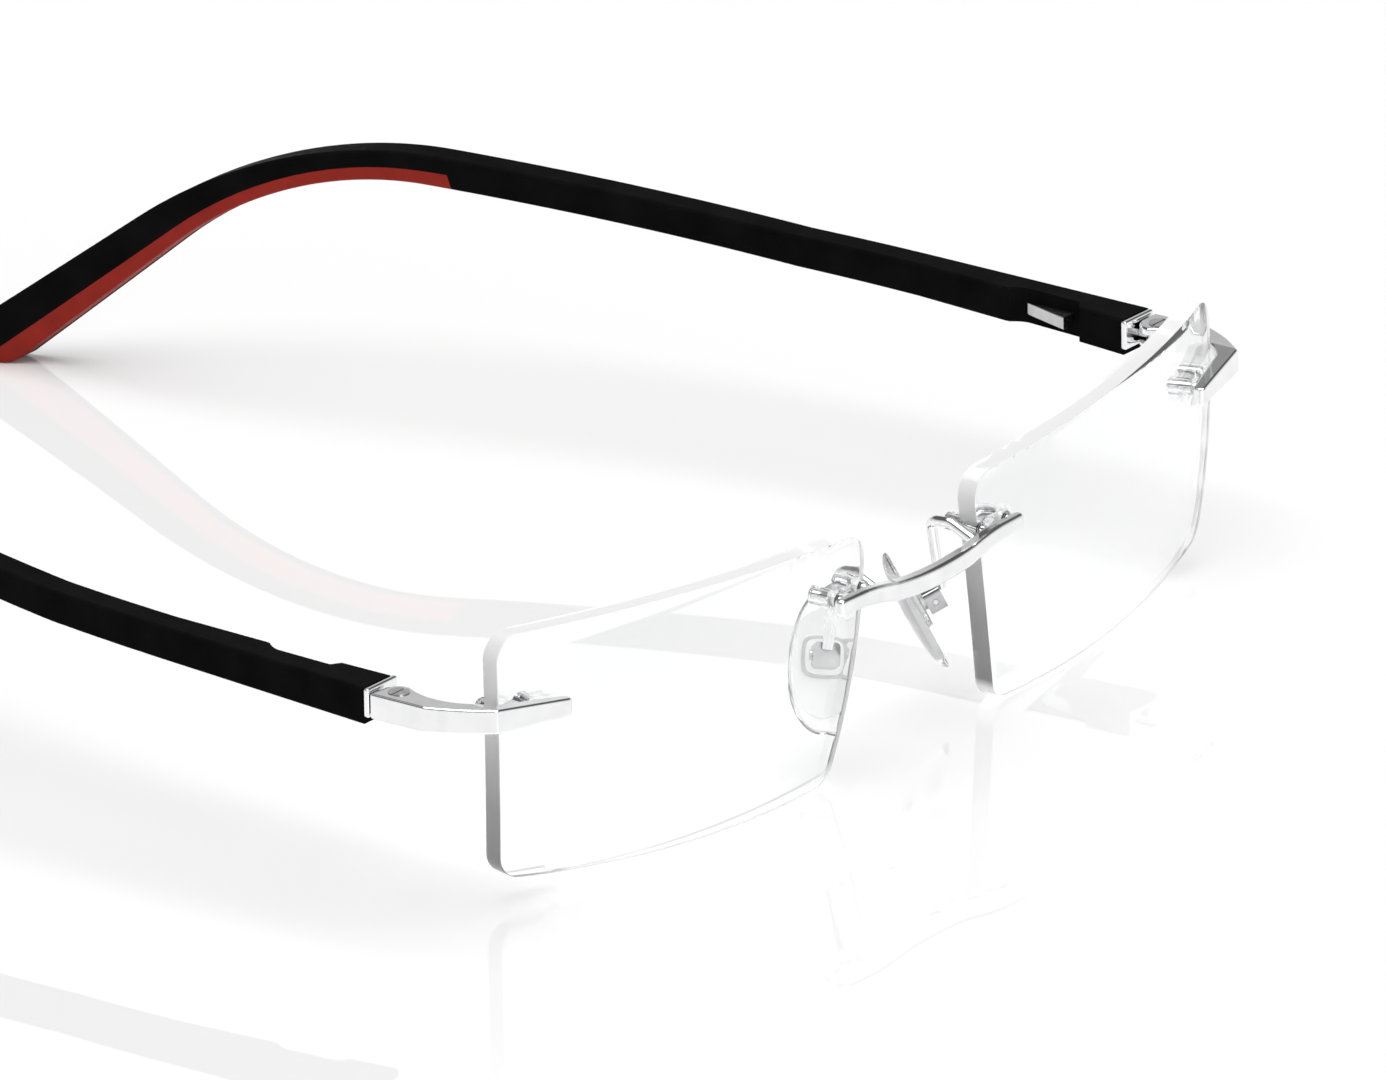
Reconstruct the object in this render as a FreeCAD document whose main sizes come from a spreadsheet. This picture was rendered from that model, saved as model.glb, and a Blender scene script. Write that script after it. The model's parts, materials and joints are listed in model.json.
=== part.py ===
"""Rimless eyeglasses: two drilled lenses, a bridge, nose pads and two spring-hinged temples.

Frame: +X to the wearer's left, the front of the glasses faces -Y, +Z up.
The origin is under the middle of the glasses, on the surface that they stand on.
The left half is modelled and mirrored; positions along Y are measured from the hinge line.
"""
import FreeCAD, Part
import math
import os
import re
import Sketcher

V = FreeCAD.Vector
doc = FreeCAD.newDocument("rimless_eyeglasses")
sizes = doc.addObject("Spreadsheet::Sheet", "Sizes")

DIMENSIONS = {
    # Overall places, in mm from the hinge line and from the floor.
    "front_reach": 19.5, "tip_reach": 134.5, "hinge_x": 65.85,
    # Lens blank: centre of the front face, its turn about Z and X, and its curve.
    "lens_x": 35.0, "lens_y": -16.2, "lens_z": 13.5, "lens_wrap": 7.9, "lens_tilt": 3.6,
    "lens_curve": 121.0, "lens_thick": 2.0,
    # Lens outline: its four corners before rounding, and how far each edge bows out.
    "nasal_top_x": -25.6, "nasal_top_y": 13.0, "temporal_top_x": 27.3, "temporal_top_y": 15.8,
    "temporal_low_x": 26.4, "temporal_low_y": -10.9, "nasal_low_x": -20.2, "nasal_low_y": -13.5,
    "bow_top": 0.5, "bow_temporal": 0.5, "bow_low": 0.9, "bow_nasal": 0.8,
    "lens_corner": 3.0,
    # Lens mounting: two pins at each end, held by a double plastic bush behind the lens.
    # Each mount's middle is found by turning about the centre of the lens curve.
    "outer_mount_turn": 11.8, "inner_mount_turn": -10.75, "mount_rise": 3.4, "pin_half_gap": 2.1,
    "pin_r": 0.46, "bush_bore_r": 0.5, "bush_sleeve_r": 0.72, "lens_hole_r": 0.75,
    "bush_r": 0.98, "bush_length": 2.1, "bush_gap": 0.04, "web_thick": 1.2, "pin_proud": 0.3,
    "pin_root": 0.7,
    # Bridge: a waved bow across the nose that ends in two flat pads on the lenses.
    "bridge_half": 15.9, "bridge_end_top": 21.3, "bridge_end_low": 19.5,
    "bridge_mid_top": 20.2, "bridge_mid_low": 18.05, "bridge_knee": 6.5,
    "bridge_knee_top": 20.62, "bridge_knee_low": 18.48, "bridge_wave": 0.1, "bridge_end_front": -19.1,
    "bridge_end_back": -17.8, "bridge_mid_back": -17.85, "bridge_flat": 11.5, "bridge_end_r": 0.6,
    "bridge_edge_r": 0.45,
    # Endpiece: from the hinge forward, round the lens edge, and along the lens front.
    "end_outer_x": 68.0, "end_bend_y": -4.7, "end_corner_x": 64.2, "end_corner_y": -11.35,
    "end_tip_x": 54.5, "end_tip_y": -13.85, "end_tip_back": -12.42, "end_inner_x": 62.0,
    "end_inner_y": -9.95,
    "end_top": 23.1, "end_corner_top": 22.95, "end_tip_top": 21.85,
    "end_low": 20.3, "end_tip_low": 19.9, "end_tip_r": 0.55, "end_edge_r": 0.28,
    "waist_bow": -2.1, "side_bow": 0.35,
    # Hinge: knuckle, slot, screw and washers, round a vertical axis.
    "knuckle_r": 2.1, "end_stop_y": 2.15, "slot_low": 21.15, "slot_gap": 1.1, "slot_r": 1.6,
    "slot_outer": 1.4, "screw_r": 0.6, "screw_hole_r": 0.65, "head_r": 1.1, "head_sink_r": 1.16,
    "head_thick": 0.3, "screw_slot": 0.28, "washer_r": 1.38, "washer_thick": 0.15,
    "face_gap": 0.03, "eye_r": 1.35,
    # Spring unit: slider, rod, coil spring and the box that is set in the temple.
    "box_x": 66.2, "box_z": 21.7, "box_wide": 2.1, "box_tall": 2.3, "box_end": 15.6,
    "collar_y": 2.3, "collar_thick": 0.7, "collar_inner": 62.95, "collar_outer": 68.0,
    "collar_low": 20.3, "collar_top": 23.42, "collar_edge_r": 0.25, "block_size": 1.4, "block_end": 5.4,
    "block_gap": 0.06, "guide_start": 5.95, "guide_thick": 0.5, "rod_r": 0.34, "rod_hole_r": 0.4,
    "rod_end": 14.6, "cap_r": 0.62, "cap_thick": 0.6, "bore_r": 0.76, "bore_end": 15.2,
    "spring_r": 0.56, "wire_r": 0.12, "spring_start": 6.6, "spring_length": 6.5,
    "spring_turns": 11.0,
    # Temple in plan: straight, then one long bow inwards.
    "temple_start": 3.0, "temple_front_x": 68.07, "temple_toe": 2.45, "bow_start": 30.0,
    "bow_radius": 242.0, "bow_end": 29.0, "temple_thick": 3.4, "block_inner_x": 63.2, "block_back_x": 63.4,
    "step_y": 8.6, "recess_start": 9.6, "recess_x": 64.8, "recess_end": 16.3, "recess_exit": 18.0,
    "recess_bow": 0.15,
    # Temple from the side: a slow rise, a bend over the ear and a wider tip.
    "side_front_top": 23.5, "side_front_low": 19.5, "rise_y": 45.0, "rise_top": 24.45,
    "rise_low": 20.95, "crest_y": 104.0, "crest_top": 28.35, "heel_y": 102.9, "heel_low": 24.9,
    "top_bend_r": 46.0, "low_bend_r": 36.0, "tip_r": 2.9, "tip_y": 131.6, "temple_edge_r": 0.4,
    # Soft strip let into the lower inner edge of the temple tip.
    "strip_start_low": 83.4, "strip_start_top": 85.2, "strip_front_top": 25.35,
    "strip_bend_y": 102.6, "strip_bend_top": 26.15, "strip_bend_r": 38.0, "strip_end_y": 136.0,
    "strip_end_top": -1.9, "strip_deep": 1.9,
    # Bright clip in the recess of the temple, seen from the inside.
    "clip_start": 10.35, "clip_end": 16.15, "clip_front_x": 62.9, "clip_back_x": 64.5,
    "clip_low": 20.95, "clip_top": 22.3, "clip_edge_r": 0.12,
    # Nose pad: its centre, its three turns, and the oval.
    "pad_x": 10.0, "pad_y": -11.4, "pad_z": 12.2, "pad_splay": 49.8, "pad_flare": -5.5,
    "pad_rake": -26.6, "pad_half_wide": 3.6, "pad_half_tall": 7.8, "pad_thick": 1.6,
    "pad_drop": 0.6, "boss_wide": 4.6, "boss_tall": 4.4, "boss_deep": 0.6, "boss_corner_r": 1.2,
    "insert_wide": 5.6, "insert_tall": 11.0, "insert_thick": 0.4, "insert_depth": 0.25,
    "lug_wide": 1.3, "lug_tall": 1.3, "lug_back": 0.5,
    "case_wide": 2.7, "case_tall": 2.6, "case_deep": 1.9, "case_wall": 0.4, "case_back": 0.3,
    "case_corner_r": 0.5, "case_gap": 0.35, "pad_pin_r": 0.3, "pad_pin_hole_r": 0.34,
    "pad_head_r": 0.5, "pad_head_thick": 0.25,
    # Pad arm: a bent wire from the bridge to the case.
    "wire_arm_r": 0.58, "arm_root_depth": 0.6, "arm_x": 8.6, "arm_root_z": 19.9,
    "arm_rise_y": -14.8, "arm_rise_z": 21.5,
    "arm_drop_y": -12.2, "arm_drop_z": 21.3, "arm_bend_r": 1.1, "arm_end_depth": 0.3,
    "arm_end_rise": 0.6,
}
for row, (name, value) in enumerate(DIMENSIONS.items(), start=1):
    sizes.set("A%d" % row, name)
    sizes.set("B%d" % row, str(value))
    sizes.setAlias("B%d" % row, name)
doc.recompute()


def size(expression):
    """Value of an expression written in the sheet's names."""
    result = sizes.evalExpression(expression)
    return float(getattr(result, "Value", result))


def bind(target, path, expression):
    """Tie one property of an object to an expression in the sheet's names."""
    names = r"\b(%s)\b" % "|".join(DIMENSIONS)
    target.setExpression(path, re.sub(names, r"Sizes.\1", expression))


def new_body(label):
    body = doc.addObject("PartDesign::Body", label)
    body.Label = label
    return body


def plane_of(body, role):
    return next(item for item in body.Origin.OriginFeatures if item.Role == role)


def new_sketch(body, role, height="0"):
    """A sketch on one of the body's own origin planes, moved along the plane's normal."""
    sketch = body.newObject("Sketcher::SketchObject", body.Name + "_sketch")
    sketch.AttachmentSupport = [(plane_of(body, role), "")]
    sketch.MapMode = "FlatFace"
    bind(sketch, "AttachmentOffset.Base.z", height)
    return sketch


def place_point(sketch, geometry, position, x, y):
    """Fix a point of the sketch at two expressions."""
    for kind, expression in (("DistanceX", x), ("DistanceY", y)):
        number = sketch.addConstraint(
            Sketcher.Constraint(kind, -1, 1, geometry, position, size(expression)))
        bind(sketch, "Constraints[%d]" % number, expression)


def outline(sketch, corners):
    """A closed outline. Each corner is (x, y) or (x, y, bow); bow is the height of the arc to the
    next corner, to the right of the way to it when it is above zero."""
    count = len(corners)
    for index, corner in enumerate(corners):
        after = corners[(index + 1) % count]
        start = V(size(corner[0]), size(corner[1]), 0)
        end = V(size(after[0]), size(after[1]), 0)
        begins, ends = 1, 2
        if len(corner) == 2:
            sketch.addGeometry(Part.LineSegment(start, end), False)
        else:
            bow = size(corner[2])
            along = end - start
            right = V(along.y, -along.x, 0).normalize()
            middle = (start + end) / 2 + right * bow
            if bow < 0:
                start, end = end, start
                begins, ends = 2, 1
            sketch.addGeometry(Part.Arc(start, middle, end), False)
        place_point(sketch, index, begins, corner[0], corner[1])
        place_point(sketch, index, ends, after[0], after[1])
        if len(corner) == 3:
            chord = "sqrt(((%s) - (%s))^2 + ((%s) - (%s))^2)" % (after[0], corner[0], after[1], corner[1])
            radius = "(%s)^2 / 8 / abs(%s) + abs(%s) / 2" % (chord, corner[2], corner[2])
            number = sketch.addConstraint(Sketcher.Constraint("Radius", index, size(radius)))
            bind(sketch, "Constraints[%d]" % number, radius)


def pad(body, sketch, length, reversed_way=False):
    feature = body.newObject("PartDesign::Pad", body.Name + "_pad")
    feature.Profile = sketch
    bind(feature, "Length", length)
    feature.Reversed = reversed_way
    sketch.Visibility = False
    return feature


def round_edges(body, feature, radius, wanted):
    """A PartDesign fillet on the edges of a body's feature that the given test picks."""
    doc.recompute()
    picked = ["Edge%d" % number for number, edge in enumerate(feature.Shape.Edges, start=1)
              if wanted(edge)]
    fillet = body.newObject("PartDesign::Fillet", body.Name + "_fillet")
    fillet.Base = (feature, picked)
    bind(fillet, "Radius", radius)
    return fillet


def primitive(kind, label, lengths, place):
    """A Part primitive: its bound lengths, and its place as three expressions."""
    solid = doc.addObject("Part::" + kind, label)
    for name, expression in lengths.items():
        bind(solid, name, expression)
    for axis, expression in zip("xyz", place):
        bind(solid, "Placement.Base." + axis, expression)
    return solid


def box(label, low, high):
    """A box between two corners, each of three expressions."""
    spans = ["(%s) - (%s)" % (top, base) for base, top in zip(low, high)]
    return primitive("Box", label, dict(zip(("Length", "Width", "Height"), spans)), low)


def upright(label, radius, height, place):
    return primitive("Cylinder", label, {"Radius": radius, "Height": height}, place)


def along_y(label, radius, height, place):
    """A cylinder that points along +Y from its place."""
    rod = upright(label, radius, height, place)
    rod.Placement.Rotation = FreeCAD.Rotation(V(1, 0, 0), -90)
    return rod


def across(label, radius, height, place):
    """A cylinder that points along +X from its place."""
    rod = upright(label, radius, height, place)
    rod.Placement.Rotation = FreeCAD.Rotation(V(0, 1, 0), 90)
    return rod


def cut(label, base, *tools):
    tool = tools[0] if len(tools) == 1 else fuse(label + "_tools", *tools)
    result = doc.addObject("Part::Cut", label)
    result.Base = base
    result.Tool = tool
    return result


def fuse(label, *shapes):
    result = doc.addObject("Part::MultiFuse", label)
    result.Shapes = list(shapes)
    return result


def common(label, *shapes):
    result = doc.addObject("Part::MultiCommon", label)
    result.Shapes = list(shapes)
    return result


def rounded(label, base, radius, wanted):
    """Round the edges that the given test picks."""
    doc.recompute()
    result = doc.addObject("Part::Fillet", label)
    result.Base = base
    amount = size(radius)
    result.Edges = [(number, amount, amount)
                    for number, edge in enumerate(base.Shape.Edges, start=1) if wanted(edge)]
    return result


def longer_than(length):
    return lambda edge: edge.Length > length


def upright_edge(edge):
    """True for a straight edge along Z."""
    if len(edge.Vertexes) != 2:
        return False
    run = edge.Vertexes[1].Point - edge.Vertexes[0].Point
    return abs(run.z) > 0.99 * edge.Length


def along_depth(edge):
    """True for a straight edge along Y."""
    run = edge.Vertexes[-1].Point - edge.Vertexes[0].Point
    return abs(run.y) > 0.99 * edge.Length


# Places. Sub-parts are drawn from the hinge line, from a lens or from a nose pad.
HINGE_LINE = "(front_reach - tip_reach) / 2"
DATUM = FreeCAD.Placement(V(0, size(HINGE_LINE), 0), FreeCAD.Rotation())
LENS_PLACE = DATUM * FreeCAD.Placement(
    V(size("lens_x"), size("lens_y"), size("lens_z")),
    FreeCAD.Rotation(size("lens_wrap"), 0, size("lens_tilt")))
PAD_PLACE = DATUM * FreeCAD.Placement(
    V(size("pad_x"), size("pad_y"), size("pad_z")),
    FreeCAD.Rotation(size("pad_splay"), size("pad_flare"), size("pad_rake")))
nodes = {}
# What the finished shapes are held to: solids in a washer node, and volume in mm^3.
WASHERS_A_HINGE = 2
VOLUME_ERROR = 0.001


def mount_place(turn):
    """Place of a lens mount: its Y axis points through the lens from the front surface."""
    reach = V(0, size("lens_curve"), 0)
    swing = FreeCAD.Rotation(size(turn), 0, -size("mount_rise"))
    return FreeCAD.Placement(reach, swing) * FreeCAD.Placement(-reach, FreeCAD.Rotation())


def node(label, shape, place=DATUM):
    """Give a finished sub-part its label and its place, and keep it for the file."""
    shape.Label = label
    shape.Placement = place
    nodes[label] = shape


def node_pair(name, shape, place=DATUM):
    """The left sub-part, and the right one as its mirror image."""
    node(name + "_left", shape, place)
    twin = doc.addObject("Part::Mirroring", name + "_right")
    twin.Source = shape
    twin.Normal = V(1, 0, 0)
    twin.Label = name + "_right"
    nodes[name + "_right"] = twin


def joined_at(label, place, *shapes):
    """Shapes drawn at a mount, joined and put in the mount's place."""
    group = fuse(label, *shapes)
    group.Placement = place
    return group


# Lens: the outline is cut from a spherical shell, then drilled and notched for the mounts.
lens_blank = new_body("lens_blank")
lens_outline = new_sketch(lens_blank, "XZ_Plane", "-8")
outline(lens_outline, [
    ("nasal_top_x", "nasal_top_y", "-bow_top"),
    ("temporal_top_x", "temporal_top_y", "-bow_temporal"),
    ("temporal_low_x", "temporal_low_y", "-bow_low"),
    ("nasal_low_x", "nasal_low_y", "-bow_nasal")])
blank = pad(lens_blank, lens_outline, "16")
round_edges(lens_blank, blank, "lens_corner", lambda edge: abs(edge.Length - 16) < 0.01)
front_ball = primitive("Sphere", "lens_front_ball", {"Radius": "lens_curve"}, ("0", "lens_curve", "0"))
back_ball = primitive("Sphere", "lens_back_ball", {"Radius": "lens_curve - lens_thick"},
                      ("0", "lens_curve", "0"))


def lens_cutters(name, turn, side):
    """A round hole, and a notch that is open to the lens edge on the given side."""
    gap = "(%d) * pin_half_gap" % side
    hole = along_y(name + "_hole", "lens_hole_r", "lens_thick + 4", ("-(%s)" % gap, "-2", "0"))
    notch = along_y(name + "_notch", "lens_hole_r", "lens_thick + 4", (gap, "-2", "0"))
    ends = (gap, "%s + (%d) * 3" % (gap, side))
    mouth = box(name + "_mouth", (ends[(1 - side) // 2], "-2", "-lens_hole_r"),
                (ends[(1 + side) // 2], "lens_thick + 2", "lens_hole_r"))
    return joined_at(name + "_cutters", mount_place(turn), hole, notch, mouth)


lens_cap = common("lens_cap", lens_blank, front_ball)
lens = cut("lens", lens_cap, back_ball, lens_cutters("outer", "outer_mount_turn", 1),
           lens_cutters("inner", "inner_mount_turn", -1))
node_pair("lens", lens, LENS_PLACE)


def bush(name, turn):
    """A clear double bush: two barrels on a web, with a sleeve of each in the lens."""
    back = "lens_thick + bush_gap"
    barrels = []
    bores = []
    for side in ("-pin_half_gap", "pin_half_gap"):
        tag = name + ("_a" if side.startswith("-") else "_b")
        barrels.append(along_y(tag + "_sleeve", "bush_sleeve_r", back, (side, "0", "0")))
        barrels.append(along_y(tag + "_barrel", "bush_r", "bush_length", (side, back, "0")))
        bores.append(along_y(tag + "_bore", "bush_bore_r", "bush_length + lens_thick + 2",
                             (side, "-1", "0")))
    web = box(name + "_web", ("-pin_half_gap", back, "-web_thick / 2"),
              ("pin_half_gap", back + " + bush_length * 0.8", "web_thick / 2"))
    solid = cut(name, fuse(name + "_outside", web, *barrels), *bores)
    node_pair(name, solid, LENS_PLACE * mount_place(turn))


bush("outer_bush", "outer_mount_turn")
bush("inner_bush", "inner_mount_turn")


def mount_pins(name, turn):
    """The two pins of a mount, from inside the metal through the lens and the bush."""
    length = "pin_root + lens_thick + bush_length + pin_proud"
    pins = [along_y(name + tag, "pin_r", length, (side, "-pin_root", "0"))
            for tag, side in (("_a", "-pin_half_gap"), ("_b", "pin_half_gap"))]
    return joined_at(name, DATUM.inverse() * LENS_PLACE * mount_place(turn), *pins)


def mirrored(shape):
    """The mirror image of a shape in the middle plane of the glasses."""
    image = doc.addObject("Part::Mirroring", shape.Name + "_far")
    image.Source = shape
    image.Normal = V(1, 0, 0)
    return image


# Bridge: a bowed bar seen from the front, and a bowed bar seen from above.
bridge_front = new_body("bridge_front")
front_sketch = new_sketch(bridge_front, "XZ_Plane")
outline(front_sketch, [
    ("-bridge_half", "bridge_end_low"),
    ("-bridge_flat", "bridge_end_low", "-bridge_wave"),
    ("-bridge_knee", "bridge_knee_low", "bridge_knee_low - bridge_mid_low"),
    ("bridge_knee", "bridge_knee_low", "-bridge_wave"),
    ("bridge_flat", "bridge_end_low"), ("bridge_half", "bridge_end_low"),
    ("bridge_half", "bridge_end_top"), ("bridge_flat", "bridge_end_top", "bridge_wave"),
    ("bridge_knee", "bridge_knee_top", "-(bridge_knee_top - bridge_mid_top)"),
    ("-bridge_knee", "bridge_knee_top", "bridge_wave"),
    ("-bridge_flat", "bridge_end_top"), ("-bridge_half", "bridge_end_top")])
pad(bridge_front, front_sketch, "25")
bridge_plan = new_body("bridge_plan")
plan_sketch = new_sketch(bridge_plan, "XY_Plane", "15")
outline(plan_sketch, [
    ("-bridge_half", "bridge_end_front", "front_reach + bridge_end_front"),
    ("bridge_half", "bridge_end_front"),
    ("bridge_half", "bridge_end_back", "-(bridge_end_back - bridge_mid_back)"),
    ("-bridge_half", "bridge_end_back")])
pad(bridge_plan, plan_sketch, "10")
bridge_bar = common("bridge_bar", bridge_front, bridge_plan)
bridge_ends = rounded("bridge_ends", bridge_bar, "bridge_end_r", upright_edge)
bridge_soft = rounded("bridge_soft", bridge_ends, "bridge_edge_r", longer_than(0.3))
bridge_pins = mount_pins("bridge_pins", "inner_mount_turn")
node("bridge", fuse("bridge", bridge_soft, bridge_pins, mirrored(bridge_pins)))

# Endpiece: seen from above it runs from the hinge round the lens edge to the lens front.
end_plan = new_body("endpiece_plan")
end_plan_sketch = new_sketch(end_plan, "XY_Plane", "15")
outline(end_plan_sketch, [
    ("end_outer_x", "end_stop_y"),
    ("hinge_x", "end_stop_y", "knuckle_r * (1 - cos(45))"),
    ("hinge_x - knuckle_r", "end_stop_y - knuckle_r", "waist_bow"),
    ("end_inner_x", "end_inner_y"), ("end_tip_x", "end_tip_back"), ("end_tip_x", "end_tip_y"),
    ("end_corner_x", "end_corner_y", "side_bow"), ("end_outer_x", "end_bend_y")])
pad(end_plan, end_plan_sketch, "10")
end_side = new_body("endpiece_side")
end_side_sketch = new_sketch(end_side, "XZ_Plane", "-4")
outline(end_side_sketch, [
    ("end_tip_x - 1", "end_tip_low"), ("end_corner_x", "end_low"), ("end_outer_x + 1", "end_low"),
    ("end_outer_x + 1", "end_top"), ("end_corner_x", "end_corner_top"),
    ("end_tip_x", "end_tip_top"), ("end_tip_x - 1", "end_tip_top")])
pad(end_side, end_side_sketch, "25")
end_bar = common("endpiece_bar", end_plan, end_side)
end_ends = rounded("endpiece_ends", end_bar, "end_tip_r",
                   lambda edge: upright_edge(edge) and edge.CenterOfMass.x < size("end_tip_x") + 0.1)
end_soft = rounded("endpiece_soft", end_ends, "end_edge_r", longer_than(0.3))

# Hinge slot, open to the rear and to the inside, and the sunk hole of the screw.
slot_top = "slot_low + slot_gap"
slot_round = upright("slot_round", "slot_r", "slot_gap", ("hinge_x", "0", "slot_low"))
slot_way = box("slot_way", ("hinge_x - knuckle_r - 1", "-slot_outer", "slot_low"),
               ("hinge_x + slot_outer", "end_stop_y + 1", slot_top))
screw_hole = upright("screw_hole", "screw_hole_r", "end_top - end_low + 2", ("hinge_x", "0", "end_low - 1"))
head_sink = upright("head_sink", "head_sink_r", "head_thick + 1", ("hinge_x", "0", "end_top - head_thick"))
end_metal = cut("endpiece_metal", end_soft, slot_round, slot_way, screw_hole, head_sink)
node_pair("endpiece", fuse("endpiece", end_metal, mount_pins("end_pins", "outer_mount_turn")))

# Hinge screw: a slotted head sunk in the endpiece, on one shank.
shank = upright("screw_shank", "screw_r", "end_top - end_low - 0.1", ("hinge_x", "0", "end_low + 0.1"))
head = upright("screw_head", "head_r", "head_thick", ("hinge_x", "0", "end_top - head_thick + 0.04"))
drive = box("screw_drive", ("hinge_x - head_r", "-screw_slot / 2", "end_top - head_thick / 2"),
            ("hinge_x + head_r", "screw_slot / 2", "end_top + 1"))
node_pair("hinge_screw", cut("hinge_screw", fuse("screw_blank", shank, head), drive))

# Two thin washers, one above and one below the slider's eye.
washers = []
for tag, level in (("low", "slot_low + face_gap"), ("high", "slot_low + slot_gap - face_gap - washer_thick")):
    ring = upright("washer_" + tag, "washer_r", "washer_thick", ("hinge_x", "0", level))
    hole = upright("washer_hole_" + tag, "screw_hole_r", "washer_thick", ("hinge_x", "0", level))
    washers.append(cut("washer_ring_" + tag, ring, hole))
node_pair("hinge_washers", fuse("hinge_washers", *washers))

# Slider: an eye on the screw, a neck, a block that slides in the box, and a rod with a cap.
eye_low = "slot_low + 2 * face_gap + washer_thick"
eye_high = "slot_low + slot_gap - 2 * face_gap - washer_thick"
block_low = "box_z - block_size / 2"
eye = upright("slider_eye", "eye_r", "slot_gap - 4 * face_gap - 2 * washer_thick", ("hinge_x", "0", eye_low))
neck = box("slider_neck", ("hinge_x - block_size / 2", "0", eye_low),
           ("hinge_x + block_size / 2", "collar_y + collar_thick", eye_high))
block = box("slider_block", ("box_x - block_size / 2", "collar_y + collar_thick", block_low),
            ("box_x + block_size / 2", "block_end", "box_z + block_size / 2"))
rod = along_y("slider_rod", "rod_r", "rod_end - block_end", ("box_x", "block_end", "box_z"))
cap = along_y("slider_cap", "cap_r", "cap_thick", ("box_x", "rod_end - cap_thick", "box_z"))
eye_hole = upright("slider_eye_hole", "screw_hole_r", "slot_gap", ("hinge_x", "0", "slot_low"))
node_pair("hinge_slider", cut("hinge_slider", fuse("slider_blank", eye, neck, block, rod, cap), eye_hole))

# Hinge box: a collar across the temple's end and a square tube let into the temple.
collar = box("collar", ("collar_inner", "collar_y", "collar_low"),
             ("collar_outer", "collar_y + collar_thick", "collar_top"))
collar_soft = rounded("collar_soft", collar, "collar_edge_r", longer_than(0.1))
tube = box("box_tube", ("box_x - box_wide / 2", "collar_y + collar_thick / 2", "box_z - box_tall / 2"),
           ("box_x + box_wide / 2", "box_end", "box_z + box_tall / 2"))
reach = "(block_size / 2 + block_gap)"
window = box("box_window", ("hinge_x - block_size / 2 - block_gap", "collar_y - 1", "box_z - " + reach),
             ("box_x + " + reach, "guide_start", "box_z + " + reach))
rod_hole = along_y("box_rod_hole", "rod_hole_r", "guide_thick + 2", ("box_x", "guide_start - 1", "box_z"))
spring_bore = along_y("box_spring_bore", "bore_r", "bore_end - guide_start - guide_thick",
                      ("box_x", "guide_start + guide_thick", "box_z"))
node_pair("hinge_box", cut("hinge_box", fuse("box_blank", collar_soft, tube), window, rod_hole, spring_bore))


def bow_point(radius, angle):
    """A point of the temple's long bow, seen from above, at a turn about the bow's centre."""
    centre_x = "temple_front_x - (bow_start - temple_start) * tan(temple_toe) - bow_radius * cos(temple_toe)"
    return ("%s + (%s) * cos(%s)" % (centre_x, radius, angle),
            "bow_start - bow_radius * sin(temple_toe) + (%s) * sin(%s)" % (radius, angle))


def bow_height(radius):
    return "(%s) * (1 - cos((bow_end - temple_toe) / 2))" % radius


# Temple: its outline from above, cut to its outline from the side.
temple_plan = new_body("temple_plan")
temple_plan_sketch = new_sketch(temple_plan, "XY_Plane", "-5")
inner_r = "bow_radius - temple_thick"
outline(temple_plan_sketch, [
    ("temple_front_x", "temple_start"),
    bow_point("bow_radius", "temple_toe") + (bow_height("bow_radius"),),
    bow_point("bow_radius", "bow_end"),
    bow_point(inner_r, "bow_end") + ("-(%s)" % bow_height(inner_r),),
    bow_point(inner_r, "temple_toe"),
    ("block_back_x", "step_y"), ("block_inner_x", "temple_start")])
pad(temple_plan, temple_plan_sketch, "40")


def tangent_point(start_y, start_top, side):
    """Where a line from a corner of the side outline touches the round tip: side is 1 on top."""
    rise = "tip_r - (%s)" % start_top
    run = "tip_y - (%s)" % start_y
    aim = "atan((%s) / (%s)) + (%d) * asin(tip_r / sqrt((%s)^2 + (%s)^2))" % (rise, run, side, rise, run)
    return ("tip_y - (%d) * tip_r * sin(%s)" % (side, aim), "tip_r + (%d) * tip_r * cos(%s)" % (side, aim))


temple_side = new_body("temple_side")
temple_side_sketch = new_sketch(temple_side, "YZ_Plane", "20")
low_touch = tangent_point("heel_y", "heel_low", -1)
top_touch = tangent_point("crest_y", "crest_top", 1)
tip_chord = "((%s - %s)^2 + (%s - %s)^2)" % (
    "(" + low_touch[0] + ")", "(" + top_touch[0] + ")", "(" + low_touch[1] + ")", "(" + top_touch[1] + ")")
tip_bow = "tip_r + sqrt(tip_r^2 - %s / 4)" % tip_chord
outline(temple_side_sketch, [
    ("temple_start", "side_front_low"), ("rise_y", "rise_low"), ("heel_y", "heel_low"),
    low_touch + (tip_bow,), top_touch, ("crest_y", "crest_top"), ("rise_y", "rise_top"),
    ("temple_start", "side_front_top")])
temple_pad = pad(temple_side, temple_side_sketch, "60")


def bend_at(y, top):
    """Picks the edge across the temple at one corner of its side outline."""
    return lambda edge: edge.Length > 50 and abs(edge.CenterOfMass.y - size(y)) < 0.5 \
        and abs(edge.CenterOfMass.z - size(top)) < 0.5


crest = round_edges(temple_side, temple_pad, "top_bend_r", bend_at("crest_y", "crest_top"))
heel = round_edges(temple_side, crest, "low_bend_r", bend_at("heel_y", "heel_low"))
temple_bar = common("temple_bar", temple_plan, temple_side)
temple_soft = rounded("temple_soft", temple_bar, "temple_edge_r",
                      lambda edge: edge.Length > 2 and not upright_edge(edge)
                      and edge.CenterOfMass.y > size("temple_start") + 0.1)

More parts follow.
